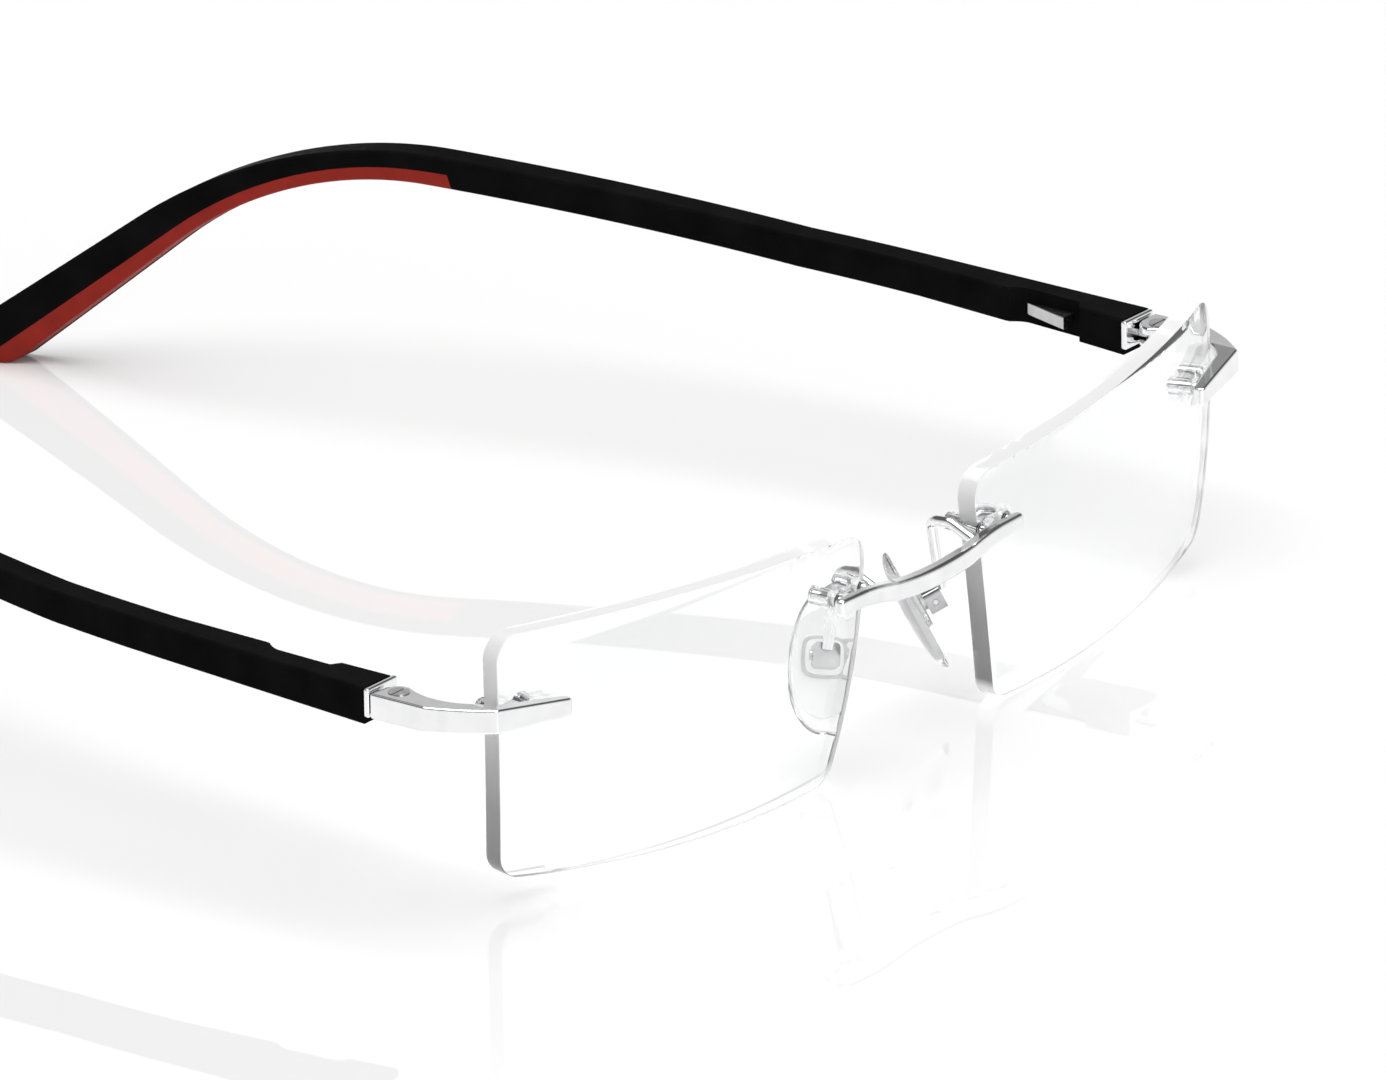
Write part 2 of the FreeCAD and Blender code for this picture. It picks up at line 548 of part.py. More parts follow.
# What is let into the temple: the hinge box, the recess on the inside, and the soft strip.
pocket = box("temple_pocket",
             ("box_x - box_wide / 2 - face_gap", "temple_start - 1", "box_z - box_tall / 2 - face_gap"),
             ("box_x + box_wide / 2 + face_gap", "box_end + 0.2", "box_z + box_tall / 2 + face_gap"))
recess = new_body("temple_recess")
recess_sketch = new_sketch(recess, "XY_Plane", "10")
outline(recess_sketch, [
    ("block_inner_x - 4", "step_y"), ("block_back_x - 0.1", "step_y"), ("recess_x", "recess_start"),
    ("recess_x", "recess_end", "recess_bow"), ("block_back_x + 0.45", "recess_exit", "-recess_bow"),
    ("block_back_x - 0.1", "recess_exit + 3"), ("block_inner_x - 4", "recess_exit + 3")])
pad(recess, recess_sketch, "25")
strip_side = new_body("strip_side")
strip_side_sketch = new_sketch(strip_side, "YZ_Plane", "20")
outline(strip_side_sketch, [
    ("strip_start_low", "side_front_low"), ("strip_start_top", "strip_front_top"),
    ("strip_bend_y", "strip_bend_top"), ("strip_end_y", "strip_end_top"),
    ("strip_end_y", "-10"), ("strip_start_low", "-10")])
strip_pad = pad(strip_side, strip_side_sketch, "60")
round_edges(strip_side, strip_pad, "strip_bend_r", bend_at("strip_bend_y", "strip_bend_top"))
strip_plan = new_body("strip_plan")
strip_plan_sketch = new_sketch(strip_plan, "XY_Plane", "-5")
deep_r = "bow_radius - temple_thick + strip_deep"
outline(strip_plan_sketch, [
    bow_point(deep_r, "temple_toe") + (bow_height(deep_r),), bow_point(deep_r, "bow_end"),
    bow_point("bow_radius - 30", "bow_end"), bow_point("bow_radius - 30", "temple_toe")])
pad(strip_plan, strip_plan_sketch, "40")
strip_tool = common("strip_tool", strip_side, strip_plan)
temple = cut("temple", temple_soft, pocket, recess, strip_tool)
node_pair("temple", temple)
node_pair("tip_strip", common("tip_strip", temple_soft, strip_tool))

# Bright clip: a wedge that stands in the recess and rises towards the front.
clip = new_body("recess_clip")
clip_sketch = new_sketch(clip, "XY_Plane", "clip_low")
outline(clip_sketch, [
    ("recess_x - 0.02", "clip_start"), ("recess_x - 0.02", "clip_end"),
    ("clip_back_x", "clip_end"), ("clip_front_x", "clip_start")])
clip_pad = pad(clip, clip_sketch, "clip_top - clip_low")
round_edges(clip, clip_pad, "clip_edge_r", lambda edge: edge.Length > 5)
node_pair("recess_clip", clip)

# Coil spring round the slider's rod, drawn as long as it is when the temple is pushed outwards.
helix = Part.makeHelix(size("spring_length / spring_turns"), size("spring_length"), size("spring_r"))
coil_start = V(size("spring_r"), 0, 0)
wire_section = Part.Wire(Part.Circle(coil_start, V(0, 1, 0), size("wire_r")).toShape())
coil = Part.Wire(helix.Edges).makePipeShell([wire_section], True, True)
spring = doc.addObject("Part::Feature", "coil_spring")
spring.Shape = coil
spring_foot = V(size("box_x"), size("spring_start"), size("box_z"))
node_pair("coil_spring", spring, DATUM * FreeCAD.Placement(spring_foot, FreeCAD.Rotation(V(1, 0, 0), -90)))

# Nose pad: a soft oval with a boss, moulded over a hard oval core whose lug turns in a case.
# It is drawn with the wearer's side towards +Y and the turning pin on the X axis.
def ellipsoid(label, tall, wide, thick, place):
    """An oval dome: a ball stretched to three half sizes."""
    ball = Part.makeSphere(1)
    stretch = FreeCAD.Matrix()
    stretch.scale(V(size(wide), size(thick), size(tall)))
    shape = doc.addObject("Part::Feature", label)
    shape.Shape = ball.transformGeometry(stretch)
    shape.Placement.Base = V(*[size(expression) for expression in place])
    return shape


boss_face = "case_deep / 2 + case_gap"
oval_back = "case_deep / 2 + case_gap + boss_deep"
cushion = ellipsoid("pad_cushion", "pad_half_tall", "pad_half_wide", "pad_thick",
                    ("0", oval_back, "-pad_drop"))
back_cut = box("pad_back_cut", ("-10", "-10", "-15"), ("10", oval_back, "15"))
dome = cut("pad_dome", cushion, back_cut)
boss = box("pad_boss", ("-boss_wide / 2", boss_face, "-boss_tall / 2"),
           ("boss_wide / 2", oval_back + " + 0.2", "boss_tall / 2"))
boss_soft = rounded("pad_boss_soft", boss, "boss_corner_r", along_depth)
plate_y = oval_back + " + insert_depth"
plate = box("insert_plate", ("-insert_wide / 2", plate_y, "-pad_drop - insert_tall / 2"),
            ("insert_wide / 2", plate_y + " + insert_thick", "insert_tall / 2 - pad_drop"))
plate_soft = rounded("insert_plate_soft", plate, "insert_wide * 0.49", along_depth)
lug = box("insert_lug", ("-lug_wide / 2", "-lug_back", "-lug_tall / 2"),
          ("lug_wide / 2", plate_y + " + insert_thick / 2", "lug_tall / 2"))
insert_solid = fuse("insert_solid", plate_soft, lug)
lug_hole = across("lug_hole", "pad_pin_hole_r", "lug_wide + 2", ("-lug_wide / 2 - 1", "0", "0"))
node_pair("nose_pad", cut("nose_pad", fuse("pad_soft", dome, boss_soft), insert_solid), PAD_PLACE)
node_pair("pad_insert", cut("pad_insert", insert_solid, lug_hole), PAD_PLACE)

case = box("case_block", ("-case_wide / 2", "-case_deep / 2", "-case_tall / 2"),
           ("case_wide / 2", "case_deep / 2", "case_tall / 2"))
case_soft = rounded("case_soft", case, "case_corner_r", along_depth)
room = box("case_room",
           ("-case_wide / 2 + case_wall", "-case_deep / 2 + case_back", "-case_tall / 2 + case_wall"),
           ("case_wide / 2 - case_wall", "case_deep", "case_tall / 2 - case_wall"))
case_hole = across("case_hole", "pad_pin_hole_r", "case_wide + 2", ("-case_wide / 2 - 1", "0", "0"))
node_pair("pad_case", cut("pad_case", case_soft, room, case_hole), PAD_PLACE)
pin_shank = across("pad_pin_shank", "pad_pin_r", "case_wide + pad_head_thick", ("-case_wide / 2", "0", "0"))
pin_head = across("pad_pin_head", "pad_head_r", "pad_head_thick", ("case_wide / 2 + 0.02", "0", "0"))
node_pair("pad_screw", fuse("pad_screw", pin_shank, pin_head), PAD_PLACE)


def bent_wire(label, corners, bend, radius):
    """A round wire along straight runs that are joined by tangent arcs."""
    edges = []
    start = corners[0]
    for before, corner, after in zip(corners, corners[1:], corners[2:]):
        back = (before - corner).normalize()
        ahead = (after - corner).normalize()
        half = back.getAngle(ahead) / 2
        reach = bend / math.tan(half)
        first = corner + back * reach
        last = corner + ahead * reach
        inward = (back + ahead).normalize()
        middle = corner + inward * (bend / math.sin(half) - bend)
        edges += [Part.LineSegment(start, first).toShape(), Part.Arc(first, middle, last).toShape()]
        start = last
    edges.append(Part.LineSegment(start, corners[-1]).toShape())
    section = Part.Circle(corners[0], corners[1] - corners[0], radius).toShape()
    shape = doc.addObject("Part::Feature", label)
    shape.Shape = Part.Wire(edges).makePipeShell([Part.Wire(section)], True, False)
    return shape


# Pad arm: a wire soldered to the back of the bridge, which loops over and drops to the case.
# It is drawn a little way into both, and cut back to their faces.
PAD_FROM_HINGE = DATUM.inverse() * PAD_PLACE
case_outside = joined_at("case_outside", PAD_FROM_HINGE, case_soft, room)
case_point = PAD_FROM_HINGE.multVec(
    V(0, size("arm_end_depth - case_deep / 2 - wire_arm_r"), size("arm_end_rise")))
arm_wire = bent_wire("pad_arm_wire", [
    V(size("arm_x"), size("bridge_end_back - arm_root_depth"), size("arm_root_z")),
    V(size("arm_x"), size("arm_rise_y"), size("arm_rise_z")),
    V(size("arm_x"), size("arm_drop_y"), size("arm_drop_z")),
    case_point], size("arm_bend_r"), size("wire_arm_r"))
node_pair("pad_arm", cut("pad_arm", arm_wire, bridge_soft, case_outside))

doc.recompute()
for item in doc.Objects:
    if "Invalid" in item.State or "Error" in item.State:
        raise RuntimeError("%s is %s" % (item.Label, item.State))
    if item.TypeId == "Part::MultiFuse":
        largest = max(member.Shape.Volume for member in item.Shapes)
        if item.Shape.Volume < largest - VOLUME_ERROR:
            raise RuntimeError("%s lost a member when it was joined" % item.Label)
for label, item in nodes.items():
    if item.Shape.isNull() or not item.Shape.isValid():
        raise RuntimeError("%s has no valid shape" % label)
    pieces = WASHERS_A_HINGE if label.startswith("hinge_washers") else 1
    if len(item.Shape.Solids) != pieces:
        raise RuntimeError("%s has %d solids, not %d" % (label, len(item.Shape.Solids), pieces))

os.makedirs("parts", exist_ok=True)
for label, item in nodes.items():
    item.Shape.exportStep(os.path.join("parts", label + ".step"))
    print(label, len(item.Shape.Solids), round(item.Shape.Volume, 2))
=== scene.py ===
"""Looks of the rimless eyeglasses: materials, soft nose pads, floor, light and camera.

Lengths are in metres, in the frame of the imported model: +X to the wearer's left, the front of
the glasses faces -Y, +Z up, and the floor is at height 0. Only the camera's sensor and lens are in
millimetres.
"""
import json
import math

import bmesh
import bpy
from mathutils import Euler, Matrix, Vector


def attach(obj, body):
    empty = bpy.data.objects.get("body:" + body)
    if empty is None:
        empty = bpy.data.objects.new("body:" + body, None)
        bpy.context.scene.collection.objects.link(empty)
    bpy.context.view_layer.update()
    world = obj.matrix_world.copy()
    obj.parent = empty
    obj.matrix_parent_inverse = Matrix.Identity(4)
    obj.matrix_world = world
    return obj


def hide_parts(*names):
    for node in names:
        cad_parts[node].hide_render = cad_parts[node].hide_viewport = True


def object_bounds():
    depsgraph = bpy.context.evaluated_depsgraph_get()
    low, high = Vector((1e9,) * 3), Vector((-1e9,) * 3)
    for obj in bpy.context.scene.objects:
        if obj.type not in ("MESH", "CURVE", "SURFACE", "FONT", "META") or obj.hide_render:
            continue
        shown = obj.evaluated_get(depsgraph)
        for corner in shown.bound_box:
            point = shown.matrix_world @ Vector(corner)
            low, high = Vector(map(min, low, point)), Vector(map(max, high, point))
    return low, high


MM = 0.001
SIDES = {"left": 1, "right": -1}

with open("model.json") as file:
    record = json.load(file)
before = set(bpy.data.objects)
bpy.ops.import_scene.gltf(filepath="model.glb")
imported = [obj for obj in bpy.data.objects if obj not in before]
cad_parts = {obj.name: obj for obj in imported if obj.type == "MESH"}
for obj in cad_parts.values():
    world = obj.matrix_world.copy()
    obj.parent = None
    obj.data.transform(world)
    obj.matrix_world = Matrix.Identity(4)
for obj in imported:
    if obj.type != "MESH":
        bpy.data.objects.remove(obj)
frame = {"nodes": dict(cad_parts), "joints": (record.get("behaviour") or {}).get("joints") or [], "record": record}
cad_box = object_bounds()
scene = bpy.context.scene


# ---------------------------------------------------------------- camera and light
# The view of the product: from the front and the wearer's right, a little above, from far away.
AZIMUTH = -52.949
ELEVATION = 20.623
ROLL = -0.865
AIM = Vector((9.30, -38.48, 12.16)) * MM
DISTANCE = 3.117
SENSOR = 36.0
LENS = 779.22
NEAREST = 0.1
FARTHEST = 20.0


def make_camera():
    """The camera looks along the view's direction at the aim, with a slight roll."""
    turn, rise, roll = (math.radians(angle) for angle in (AZIMUTH, ELEVATION, ROLL))
    ahead = Vector((-math.sin(turn) * math.cos(rise), math.cos(turn) * math.cos(rise), -math.sin(rise)))
    level = Vector((math.cos(turn), math.sin(turn), 0))
    up = level.cross(ahead)
    across = math.cos(roll) * level + math.sin(roll) * up
    over = -math.sin(roll) * level + math.cos(roll) * up
    data = bpy.data.cameras.new("camera")
    data.sensor_width = SENSOR
    data.lens = LENS
    data.clip_start = NEAREST
    data.clip_end = FARTHEST
    camera = bpy.data.objects.new("camera", data)
    axes = Matrix((across, over, -ahead)).transposed().to_4x4()
    camera.matrix_world = Matrix.Translation(AIM - ahead * DISTANCE) @ axes
    scene.collection.objects.link(camera)
    scene.camera = camera


def make_lamp(name, place, size, power):
    """A square softbox that faces the object."""
    data = bpy.data.lights.new(name, "AREA")
    data.shape = "SQUARE"
    data.size = size
    data.energy = power
    lamp = bpy.data.objects.new(name, data)
    lamp.location = place
    lamp.rotation_euler = (-Vector(place)).to_track_quat("-Z", "Y").to_euler()
    scene.collection.objects.link(lamp)


def set_grey_stops(ramp, stops):
    """Give a new colour ramp these stops, each a place and a grey level."""
    elements = ramp.color_ramp.elements
    for place, level in stops[1:-1]:
        elements.new(place)
    for element, (place, level) in zip(elements, stops):
        element.position = place
        element.color = (level, level, level, 1)


# The softboxes: name, place, width and power in watts. The floor comes out near white.
SOFTBOXES = (
    ("overhead_softbox", (0.0, 0.0, 2.2), 2.6, 46.0),
    ("front_softbox", (-0.9, -2.0, 1.3), 1.2, 8.0),
)
# Brightness of the walls from the horizon up: bright, grey, a dark band, and bright overhead.
WALL_STOPS = (
    (0.0, 1.0), (0.14, 0.95), (0.27, 0.6), (0.46, 0.5), (0.56, 0.1), (0.76, 0.1), (0.88, 1.0),
    (1.0, 1.0))


def make_world():
    """Pale studio walls with grey and dark bands, which give polished metal something to show."""
    world = bpy.data.worlds.new("studio")
    world.use_nodes = True
    tree = world.node_tree
    direction = tree.nodes.new("ShaderNodeTexCoord")
    split = tree.nodes.new("ShaderNodeSeparateXYZ")
    ramp = tree.nodes.new("ShaderNodeValToRGB")
    tree.links.new(direction.outputs["Generated"], split.inputs[0])
    tree.links.new(split.outputs["Z"], ramp.inputs[0])
    tree.links.new(ramp.outputs[0], tree.nodes["Background"].inputs["Color"])
    set_grey_stops(ramp, WALL_STOPS)
    scene.world = world


# ---------------------------------------------------------------- materials
# The noise keeps mostly between these two values, so they are where its extremes are shown.
NOISE_LOW = 0.3
NOISE_HIGH = 0.7


class Surface:
    """A Principled material with helpers for the nodes that vary it."""

    def __init__(self, name, **sockets):
        self.material = bpy.data.materials.new(name)
        self.material.use_nodes = True
        self.tree = self.material.node_tree
        self.shader = self.tree.nodes["Principled BSDF"]
        for socket, value in sockets.items():
            self.shader.inputs[socket.replace("_", " ")].default_value = value
        self.coords = self.tree.nodes.new("ShaderNodeTexCoord")

    def noise(self, scale, detail=3.0, stretch=(1, 1, 1)):
        """Noise in the object's own coordinates. The scale is in waves a metre."""
        spread = self.tree.nodes.new("ShaderNodeMapping")
        spread.inputs["Scale"].default_value = stretch
        texture = self.tree.nodes.new("ShaderNodeTexNoise")
        texture.inputs["Scale"].default_value = scale
        texture.inputs["Detail"].default_value = detail
        self.tree.links.new(self.coords.outputs["Object"], spread.inputs["Vector"])
        self.tree.links.new(spread.outputs[0], texture.inputs["Vector"])
        return texture.outputs["Fac"]

    def spread(self, value, low, high):
        """The noise value spread from low to high."""
        between = self.tree.nodes.new("ShaderNodeMapRange")
        between.inputs["From Min"].default_value = NOISE_LOW
        between.inputs["From Max"].default_value = NOISE_HIGH
        between.inputs["To Min"].default_value = low
        between.inputs["To Max"].default_value = high
        self.tree.links.new(value, between.inputs["Value"])
        return between.outputs[0]

    def rough(self, value, low, high):
        """Roughness between two values."""
        self.tree.links.new(self.spread(value, low, high), self.shader.inputs["Roughness"])

    def tint(self, value, dark, light):
        """Colour between two tones."""
        ramp = self.tree.nodes.new("ShaderNodeValToRGB")
        ends = ((NOISE_LOW, dark), (NOISE_HIGH, light))
        for element, (place, tone) in zip(ramp.color_ramp.elements, ends):
            element.position = place
            element.color = (*tone, 1)
        self.tree.links.new(value, ramp.inputs[0])
        self.tree.links.new(ramp.outputs[0], self.shader.inputs["Base Color"])

    def paint_shade_by_height(self, value, sway, top, stops):
        """Painted shade: grey tone by height, from 0 to top, with the noise value swaying it either way."""
        split = self.tree.nodes.new("ShaderNodeSeparateXYZ")
        share = self.tree.nodes.new("ShaderNodeMath")
        share.operation = "MULTIPLY_ADD"
        share.inputs[1].default_value = 1 / top
        ramp = self.tree.nodes.new("ShaderNodeValToRGB")
        self.tree.links.new(self.coords.outputs["Object"], split.inputs[0])
        self.tree.links.new(split.outputs["Z"], share.inputs[0])
        self.tree.links.new(self.spread(value, -sway, sway), share.inputs[2])
        self.tree.links.new(share.outputs[0], ramp.inputs[0])
        self.tree.links.new(ramp.outputs[0], self.shader.inputs["Base Color"])
        set_grey_stops(ramp, stops)

    def bump(self, value, height, strength=1.0):
        """Relief of the given height in metres."""
        relief = self.tree.nodes.new("ShaderNodeBump")
        relief.inputs["Distance"].default_value = height
        relief.inputs["Strength"].default_value = strength
        self.tree.links.new(value, relief.inputs["Height"])
        self.tree.links.new(relief.outputs[0], self.shader.inputs["Normal"])

    def let_lamps_through(self):
        """Light from lamps passes straight through, so that clear parts cast no dark shadow."""
        path = self.tree.nodes.new("ShaderNodeLightPath")
        clear = self.tree.nodes.new("ShaderNodeBsdfTransparent")
        mix = self.tree.nodes.new("ShaderNodeMixShader")
        output = self.tree.nodes["Material Output"]
        self.tree.links.new(path.outputs["Is Shadow Ray"], mix.inputs[0])
        self.tree.links.new(self.shader.outputs[0], mix.inputs[1])
        self.tree.links.new(clear.outputs[0], mix.inputs[2])
        self.tree.links.new(mix.outputs[0], output.inputs["Surface"])


def lens_material():
    """Hard-coated lens: clear, with a trace of unevenness in the polish."""
    lens = Surface("lens_clear", Transmission_Weight=1.0, IOR=1.5)
    lens.tint(lens.noise(60), (0.975, 0.98, 0.98), (1, 1, 1))
    lens.rough(lens.noise(900), 0.0, 0.012)
    lens.let_lamps_through()
    return lens.material


# Painted shade on the rim: its grey tone by share of the lens's height stands in for the dark surroundings a real
# rim reflects, darkest just above the pale bottom edge.
LENS_TOP = 30 * MM
RIM_SWAY = 0.02
RIM_PAINTED_SHADE_STOPS = (
    (0.0, 1.0), (0.045, 1.0), (0.08, 0.3), (0.35, 0.42), (0.6, 0.66), (0.72, 0.86), (0.85, 1.0))


def rim_material():
    """Ground and polished lens edge: partly clear, streaked by the wheel, and made grey low down by painted shade.
    """
    rim = Surface("lens_rim", Transmission_Weight=0.25, IOR=1.5, Specular_IOR_Level=0.6)
    # Painted shade: the rim is greyed by height, darkest low down, in place of the reflections that darken it.
    rim.paint_shade_by_height(rim.noise(110, stretch=(1, 1, 0.35)), RIM_SWAY, LENS_TOP, RIM_PAINTED_SHADE_STOPS)
    rim.rough(rim.noise(700), 0.06, 0.16)
    rim.bump(rim.noise(6000, stretch=(1, 1, 0.2)), 0.000003)
    rim.let_lamps_through()
    return rim.material


def bush_material():
    """Clear moulded plastic, slightly wavy."""
    bush = Surface("bush_clear", Transmission_Weight=1.0, IOR=1.49)
    bush.tint(bush.noise(700), (0.9, 0.91, 0.92), (0.98, 0.98, 0.98))
    bush.rough(bush.noise(2500), 0.02, 0.09)
    bush.bump(bush.noise(1600), 0.00002)
    bush.let_lamps_through()
    return bush.material


def pad_material():
    """Clear silicone: glossy, with a faint moulded unevenness."""
    pad = Surface("pad_clear", Transmission_Weight=1.0, IOR=1.41)
    pad.tint(pad.noise(350), (0.965, 0.968, 0.97), (1.0, 1.0, 1.0))
    pad.rough(pad.noise(500), 0.015, 0.06)
    pad.bump(pad.noise(1400), 0.000006)
    pad.let_lamps_through()
    return pad.material


def pad_edge_shade_material():
    """The rounded edge of the boss, made greyer than the rest of the silicone by painted shade."""
    edge = Surface("pad_edge", Transmission_Weight=1.0, IOR=1.41)
    # The grey tone is painted shade: the dark outline that a clear boss edge shows.
    edge.tint(edge.noise(900), (0.36, 0.365, 0.37), (0.5, 0.5, 0.505))
    edge.rough(edge.noise(1500), 0.04, 0.1)
    edge.bump(edge.noise(2400), 0.000004)
    edge.let_lamps_through()
    return edge.material


def core_material():
    """Hard clear plastic with a softly frosted skin."""
    core = Surface("core_frosted", Transmission_Weight=0.85, IOR=1.46)
    core.tint(core.noise(420), (0.9, 0.9, 0.905), (0.96, 0.96, 0.965))
    core.rough(core.noise(1100), 0.3, 0.42)
    core.bump(core.noise(6000), 0.000004)
    core.let_lamps_through()
    return core.material


def chrome_material():
    """Polished chrome with the faint haze and fine streaks that polishing leaves."""
    chrome = Surface("chrome_bright", Metallic=1.0)
    chrome.tint(chrome.noise(400), (0.83, 0.83, 0.84), (0.91, 0.91, 0.915))
    chrome.rough(chrome.noise(1200), 0.035, 0.1)
    chrome.bump(chrome.noise(7000, stretch=(1, 1, 0.15)), 0.0000008)
    return chrome.material


def case_material():
    """Duller chrome of the pad cases."""
    case = Surface("case_chrome", Metallic=1.0)
    case.tint(case.noise(900), (0.36, 0.36, 0.365), (0.46, 0.46, 0.465))
    case.rough(case.noise(2600), 0.12, 0.24)
    case.bump(case.noise(7000), 0.000001)
    return case.material


def clip_material():
    """Bright clip with a fine satin grain along its length."""
    clip = Surface("clip_bright", Metallic=1.0)
    clip.tint(clip.noise(900), (0.52, 0.52, 0.52), (0.6, 0.6, 0.6))
    clip.rough(clip.noise(5000, stretch=(1, 0.1, 1)), 0.16, 0.28)
    clip.bump(clip.noise(9000, stretch=(1, 0.08, 1)), 0.000002)
    return clip.material


def steel_material():
    """Machined steel: fine level tool marks and a little grey variation."""
    steel = Surface("steel", Metallic=1.0)
    steel.tint(steel.noise(1500), (0.5, 0.5, 0.51), (0.68, 0.68, 0.69))
    steel.rough(steel.noise(6000, stretch=(0.2, 0.2, 1)), 0.15, 0.32)
    steel.bump(steel.noise(9000, stretch=(0.15, 0.15, 1)), 0.000002)
    return steel.material


def washer_material():
    """Off-white nylon."""
    nylon = Surface("nylon")
    nylon.tint(nylon.noise(1800), (0.72, 0.72, 0.69), (0.86, 0.86, 0.83))
    nylon.rough(nylon.noise(3000), 0.4, 0.6)
    return nylon.material


def temple_material():
    """Black satin lacquer with a very fine soft-touch grain."""
    black = Surface("temple_black", Specular_IOR_Level=0.004)
    black.tint(black.noise(220), (0.0035, 0.0035, 0.0037), (0.0062, 0.0062, 0.0064))
    black.rough(black.noise(1400), 0.36, 0.5)
    black.bump(black.noise(9000, detail=2), 0.000006, 0.4)
    return black.material


def strip_material():
    """Dark red soft rubber, matt, with a fine moulded grain."""
    rubber = Surface("strip_red", Specular_IOR_Level=0.12)
    rubber.tint(rubber.noise(260), (0.235, 0.015, 0.009), (0.29, 0.021, 0.013))
    rubber.rough(rubber.noise(1500), 0.5, 0.68)
    rubber.bump(rubber.noise(8000), 0.00001, 0.4)
    return rubber.material


def floor_material():
    """White glossy studio floor that mirrors the object faintly."""
    floor = Surface("studio_floor", IOR=2.2)
    floor.tint(floor.noise(3), (0.93, 0.93, 0.93), (0.94, 0.94, 0.94))
    floor.rough(floor.noise(8), 0.012, 0.02)
    return floor.material


MAKERS = {
    "lens_clear": lens_material, "bush_clear": bush_material, "pad_clear": pad_material,
    "core_frosted": core_material, "chrome_bright": chrome_material,
    "clip_bright": clip_material, "steel": steel_material,
    "nylon": washer_material, "temple_black": temple_material, "strip_red": strip_material,
}


def dress_frame(materials):
    """Give each CAD node the material of its slot in the record, and the pad cases their own."""
    choice = {part["node"]: materials[part["material_slot"]] for part in frame["record"]["subparts"]}
    case = case_material()
    choice.update({"pad_case_" + side: case for side in SIDES})
    for node, material in choice.items():
        for slot in frame["nodes"][node].material_slots:
            slot.material = material


# ---------------------------------------------------------------- lenses
LENS_BEVEL = 0.1 * MM
BEVEL_STEPS = 2
WELD = 0.002 * MM
# A face belongs to the rim when it is turned this far from the lens's own direction.
RIM_TURN = math.radians(50)


def lens_direction(mesh):
    """The direction through the lens: the area-weighted mean of its front faces' normals."""
    total = Vector()
    for face in mesh.faces:
        if face.normal.y < 0:
            total += face.normal * face.calc_area()
    return total.normalized()


def make_lenses(clear, rim):
    """Each lens as one piece: the drilled shape with a fine bevel round its ground rim."""
    for side in SIDES:
        node = "lens_" + side
        mesh = bmesh.new()
        mesh.from_mesh(frame["nodes"][node].data)
        bmesh.ops.remove_doubles(mesh, verts=mesh.verts, dist=WELD)
        mesh.normal_update()
        through = lens_direction(mesh)
        for face in mesh.faces:
            lean = min(face.normal.angle(through), face.normal.angle(-through))
            face.material_index = 1 if lean > RIM_TURN else 0
            face.smooth = True
        edges = [edge for edge in mesh.edges if len(edge.link_faces) == 2
                 and edge.link_faces[0].material_index != edge.link_faces[1].material_index]
        bmesh.ops.bevel(mesh, geom=edges, offset=LENS_BEVEL, segments=BEVEL_STEPS, profile=0.5,
                        affect="EDGES", clamp_overlap=True, material=1)
        bmesh.ops.recalc_face_normals(mesh, faces=mesh.faces)
        data = bpy.data.meshes.new("lens_glass_" + side)
        mesh.to_mesh(data)
        mesh.free()
        data.materials.append(clear)
        data.materials.append(rim)
        lens = bpy.data.objects.new("lens_glass_" + side, data)
        scene.collection.objects.link(lens)
        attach(lens, "front")
        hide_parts(node)


# ---------------------------------------------------------------- soft nose pads
# The pad: half sizes, height of the crown, depth of the flat back, and how far it hangs below its pin.
PAD_WIDE = 3.6 * MM
PAD_TALL = 7.8 * MM
PAD_CROWN = 1.6 * MM
PAD_BACK = 1.9 * MM
PAD_DROP = 0.6 * MM
# Shares: how much the pad widens from its middle to its foot, and how much shorter its foot is.
FOOT_WIDER = 0.07
FOOT_SHORTER = 0.06
# The boss on its back: half sizes, and the depth of its face.
BOSS_WIDE = 2.3 * MM
BOSS_TALL = 2.2 * MM
BOSS_BACK = 1.3 * MM
# The left pad's turns about X, Y and Z.
PAD_TURNS = (math.radians(-26.6), math.radians(-5.5), math.radians(49.8))
# Rings of the oval from the middle of the front to the back: size, and rise over the back in crowns.
PAD_RINGS = (
    (0.30, 1.00), (0.58, 0.90), (0.78, 0.76), (0.84, 0.66), (0.93, 0.52), (0.99, 0.28), (1.0, 0.14),
    (0.97, 0.03), (0.88, -0.02), (0.80, 0.0))
# Rings of the boss from its foot to its face: size, and how far it has risen.
BOSS_RINGS = (
    (1.12, 0.0), (1.02, 0.06), (1.0, 0.3), (1.0, 0.72), (0.96, 0.94), (0.88, 1.0), (0.55, 1.0))
BOSS_SQUARENESS = 0.5
# Which of the boss's bands, counted from 0 at its foot, are its rounded edge, which carries painted shade.
BOSS_EDGE = (3, 4)
RING_POINTS = 32
SMOOTHING = 2


def squared(value):
    """A cosine or sine pushed outwards, so that a ring of them has flat sides and round corners."""
    return math.copysign(abs(value) ** BOSS_SQUARENESS, value)


def pad_ring(size, rise):
    """One oval ring of the pad: a little wider at the foot than at the head."""
    ring = []
    for step in range(RING_POINTS):
        angle = 2 * math.pi * step / RING_POINTS
        lower = 1 + FOOT_SHORTER * max(0.0, -math.sin(angle))
        ring.append((PAD_WIDE * size * math.cos(angle) * (1 - FOOT_WIDER * math.sin(angle)),
                     PAD_BACK + PAD_CROWN * rise,
                     PAD_TALL * size * math.sin(angle) / lower - PAD_DROP))
    return ring


def boss_ring(size, risen):
    """One ring of the boss: a square with round corners."""
    ring = []
    for step in range(RING_POINTS):
        angle = 2 * math.pi * step / RING_POINTS
        ring.append((BOSS_WIDE * size * squared(math.cos(angle)),
                     PAD_BACK + (BOSS_BACK - PAD_BACK) * risen,
                     BOSS_TALL * size * squared(math.sin(angle))))
    return ring


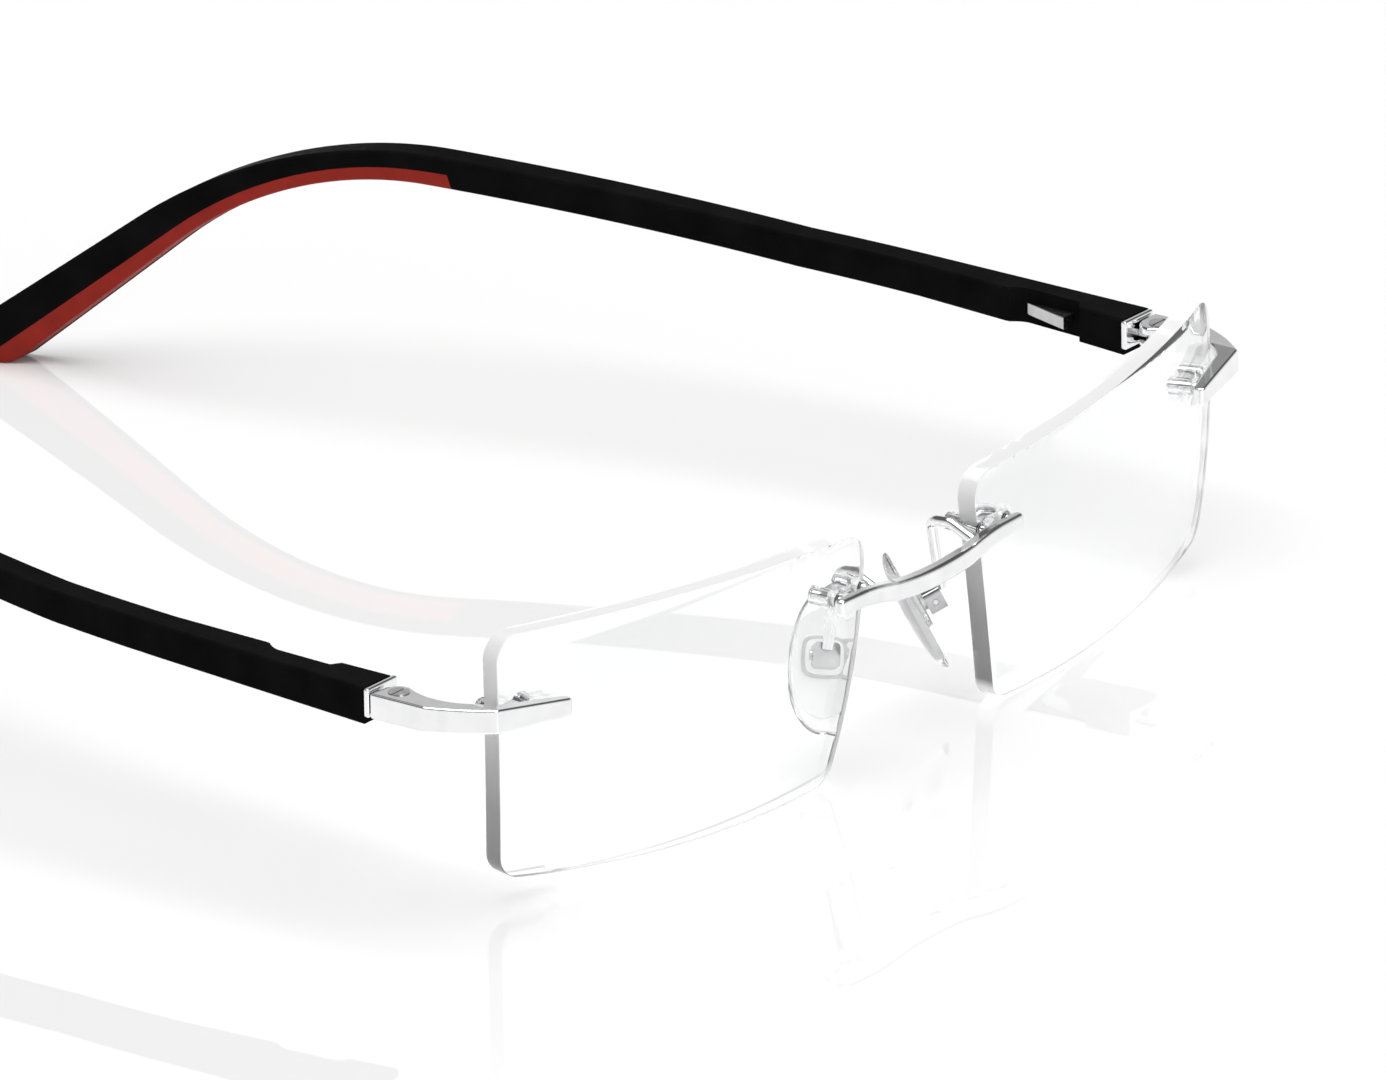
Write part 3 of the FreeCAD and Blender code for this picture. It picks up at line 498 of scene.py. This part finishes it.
def pad_mesh(name):
    """An oval cushion: crowned towards the wearer, a soft rim, and a flat back with a boss."""
    mesh = bmesh.new()
    places = [pad_ring(*ring) for ring in PAD_RINGS] + [boss_ring(*ring) for ring in BOSS_RINGS]
    rings = [[mesh.verts.new(place) for place in ring] for ring in places]
    for index, (inner, outer) in enumerate(zip(rings, rings[1:])):
        on_boss_edge = index - len(PAD_RINGS) in BOSS_EDGE
        for step in range(RING_POINTS):
            after = (step + 1) % RING_POINTS
            face = mesh.faces.new((inner[step], inner[after], outer[after], outer[step]))
            face.material_index = int(on_boss_edge)
    for ring in (rings[0], rings[-1]):
        hub = mesh.verts.new(sum((vert.co for vert in ring), Vector()) / RING_POINTS)
        for step in range(RING_POINTS):
            mesh.faces.new((hub, ring[(step + 1) % RING_POINTS], ring[step]))
    bmesh.ops.recalc_face_normals(mesh, faces=mesh.faces)
    data = bpy.data.meshes.new(name)
    mesh.to_mesh(data)
    mesh.free()
    for face in data.polygons:
        face.use_smooth = True
    return data


def make_pads(clear, edge):
    """A soft pad on each arm, in place of the plain solid."""
    joints = {joint["name"]: joint for joint in frame["joints"]}
    for side, sign in SIDES.items():
        pad = bpy.data.objects.new("soft_pad_" + side, pad_mesh("soft_pad_" + side))
        turned = Euler(PAD_TURNS, "XYZ").to_matrix().to_4x4()
        place = Matrix.Translation(joints["pad_rock_left"]["pos_m"]) @ turned
        pad.data.transform(Matrix.Scale(sign, 4, (1, 0, 0)) @ place)
        if sign < 0:
            pad.data.flip_normals()
        scene.collection.objects.link(pad)
        smooth = pad.modifiers.new("smooth", "SUBSURF")
        smooth.levels = SMOOTHING
        smooth.render_levels = SMOOTHING
        pad.data.materials.append(clear)
        pad.data.materials.append(edge)
        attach(pad, "pad_" + side)
        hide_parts("nose_pad_" + side)


# ---------------------------------------------------------------- stage
FLOOR_HALF = 6.0
FLOOR_TILES = 8


def make_floor():
    """A square floor under the object."""
    mesh = bmesh.new()
    bmesh.ops.create_grid(mesh, x_segments=FLOOR_TILES, y_segments=FLOOR_TILES, size=FLOOR_HALF)
    data = bpy.data.meshes.new("studio_floor")
    mesh.to_mesh(data)
    mesh.free()
    floor = bpy.data.objects.new("studio_floor", data)
    floor.location.z = cad_box[0].z
    data.materials.append(floor_material())
    scene.collection.objects.link(floor)


scene.view_settings.view_transform = "Standard"
make_camera()
make_world()
for softbox in SOFTBOXES:
    make_lamp(*softbox)
materials = {slot: maker() for slot, maker in MAKERS.items()}
dress_frame(materials)
make_lenses(materials["lens_clear"], rim_material())
make_pads(materials["pad_clear"], pad_edge_shade_material())
make_floor()
